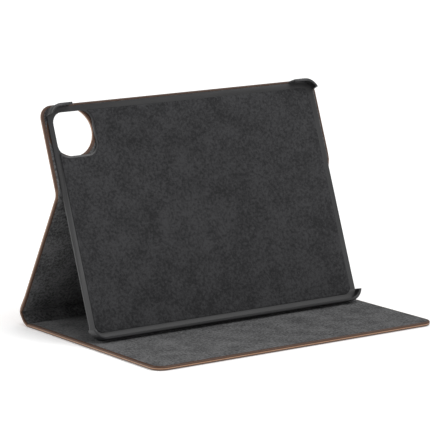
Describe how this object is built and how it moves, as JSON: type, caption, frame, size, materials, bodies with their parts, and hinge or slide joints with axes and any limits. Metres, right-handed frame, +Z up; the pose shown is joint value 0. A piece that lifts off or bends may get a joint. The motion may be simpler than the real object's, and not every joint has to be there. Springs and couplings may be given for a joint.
{
  "type": "tablet case",
  "caption": "Leather folio case standing as an easel: hinged cover, spine and flap carry a moulded tray that clips round a tablet's corners.",
  "frame": {"origin": "centre of the front cover's underside, which lies on the table", "axes": "+X along the spine, to the right as seen from the tray's side; +Y from the front cover's free edge towards the spine; +Z up"},
  "size_m": [0.2546, 0.1943, 0.1765],
  "materials": {
    "tan_leather": "fine-grained tan leather, semi-matt, edges folded over",
    "stiff_board": "matt polypropylene board",
    "charcoal_microfibre": "short-napped charcoal microfibre",
    "black_polycarbonate": "satin moulded black",
    "black_microfibre": "short-napped black microfibre",
    "plated_magnet": "nickel plate",
    "spring_steel": "plain ground steel"
  },
  "bodies": {
    "front_cover": {"front_leather": "tan_leather", "front_board": "stiff_board", "front_lining": "charcoal_microfibre", "closing_magnet_1": "plated_magnet", "closing_magnet_2": "plated_magnet", "closing_magnet_3": "plated_magnet", "closing_magnet_4": "plated_magnet", "stand_magnet_1": "plated_magnet", "stand_magnet_2": "plated_magnet", "stand_magnet_3": "plated_magnet", "stand_magnet_4": "plated_magnet", "stand_magnet_5": "plated_magnet", "wake_magnet": "plated_magnet"},
    "spine": {"spine_leather": "tan_leather", "spine_stiffener": "stiff_board", "spine_lining": "charcoal_microfibre"},
    "flap": {"flap_leather": "tan_leather", "flap_board": "stiff_board", "flap_lining": "charcoal_microfibre"},
    "rear_cover": {"rear_leather": "tan_leather", "rear_board": "stiff_board", "rear_lining": "charcoal_microfibre", "tray_shell": "black_polycarbonate", "tray_pad": "black_microfibre", "keeper_strip": "spring_steel"}
  },
  "joints": [
    {"name": "cover_hinge", "type": "hinge", "parent": "front_cover", "child": "spine", "pos_m": [0, 0.09187, 0.00045], "axis": [1, 0, 0], "range_deg": [-41, 0]},
    {"name": "flap_hinge", "type": "hinge", "parent": "spine", "child": "flap", "pos_m": [0, 0.10229, 0.0095], "axis": [1, 0, 0], "range_deg": [-79.4, 0]},
    {"name": "crease_hinge", "type": "hinge", "parent": "flap", "child": "rear_cover", "pos_m": [0, 0.04383, 0.10894], "axis": [1, 0, 0], "range_deg": [0, 50.45]}
  ],
  "couplings": [
    {"joint": "crease_hinge", "follows": "flap_hinge", "ratio": -0.635}
  ]
}
